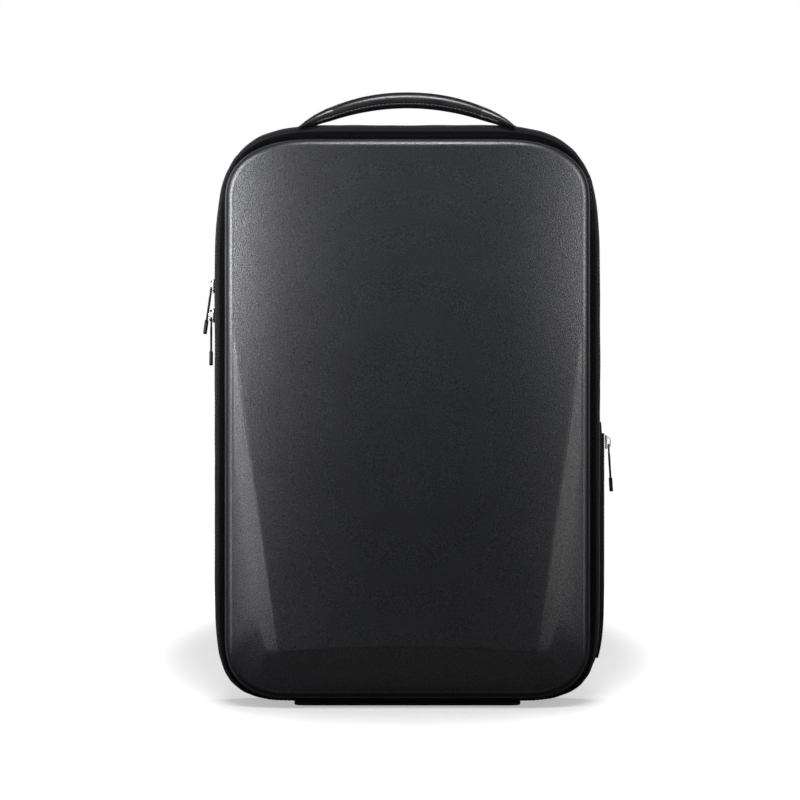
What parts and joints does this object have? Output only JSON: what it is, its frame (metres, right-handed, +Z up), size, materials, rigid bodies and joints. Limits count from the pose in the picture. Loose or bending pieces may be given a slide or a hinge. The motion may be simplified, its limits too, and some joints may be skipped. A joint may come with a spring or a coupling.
{
  "type": "hard shell backpack",
  "caption": "Hard shell backpack with a faceted moulded front, zipped fabric gussets, arched top handle, padded back and shoulder straps, standing on its base.",
  "frame": {"origin": "on the underside of the base strip, under the middle of the body's width and depth", "axes": "+X to the right as seen from the shell, -Y out of the moulded shell, +Y to the wearer's back, +Z up"},
  "size_m": [0.3212, 0.1751, 0.4755],
  "materials": {
    "shell": "moulded EVA with a fine leather-grain film, satin charcoal",
    "piping": "black coated piping, satin",
    "zip_tape": "black woven zip tape",
    "zip_coil": "black nylon coil",
    "gusset_fabric": "black woven polyester",
    "back_mesh": "black padded air mesh",
    "base": "black coated fabric",
    "handle_leather": "black stitched leather, semi-gloss",
    "slider_metal": "polished nickel plate",
    "pull_metal": "black enamelled metal",
    "strap_fabric": "black woven polyester over foam",
    "webbing": "black woven webbing",
    "buckle_plastic": "black moulded acetal"
  },
  "bodies": {
    "bag": {"front_shell": "shell", "shell_piping": "piping", "front_zip_tape": "zip_tape", "front_zip_coil": "zip_coil", "gusset_front": "gusset_fabric", "main_zip_tape": "zip_tape", "main_zip_coil": "zip_coil", "gusset_bottom": "gusset_fabric", "gusset_rear": "gusset_fabric", "back_panel": "back_mesh", "base_strip": "base", "handle": "handle_leather", "side_pocket": "gusset_fabric", "pocket_zip_tape": "zip_tape", "pocket_zip_coil": "zip_coil", "upper_slider": "slider_metal", "lower_slider": "slider_metal", "pocket_slider": "slider_metal", "shoulder_strap_left": "strap_fabric", "shoulder_strap_right": "strap_fabric", "strap_webbing_left": "webbing", "strap_webbing_right": "webbing", "strap_buckle_left": "buckle_plastic", "strap_buckle_right": "buckle_plastic", "strap_tab_left": "webbing", "strap_tab_right": "webbing"},
    "upper_pull_body": {"upper_pull": "pull_metal"},
    "lower_pull_body": {"lower_pull": "pull_metal"},
    "pocket_pull_body": {"pocket_pull": "pull_metal"}
  },
  "joints": [
    {"name": "upper_pull_swing", "type": "hinge", "parent": "bag", "child": "upper_pull_body", "pos_m": [-0.15319, 0.015, 0.324], "axis": [0, 0.9613, -0.2756], "range_deg": [0, 135]},
    {"name": "lower_pull_swing", "type": "hinge", "parent": "bag", "child": "lower_pull_body", "pos_m": [-0.15319, 0.015, 0.301], "axis": [0, 0.9962, -0.0872], "range_deg": [0, 135]},
    {"name": "pocket_pull_swing", "type": "hinge", "parent": "bag", "child": "pocket_pull_body", "pos_m": [0.1584, 0.0399, 0.202], "axis": [0, -1, 0], "range_deg": [0, 135]}
  ]
}
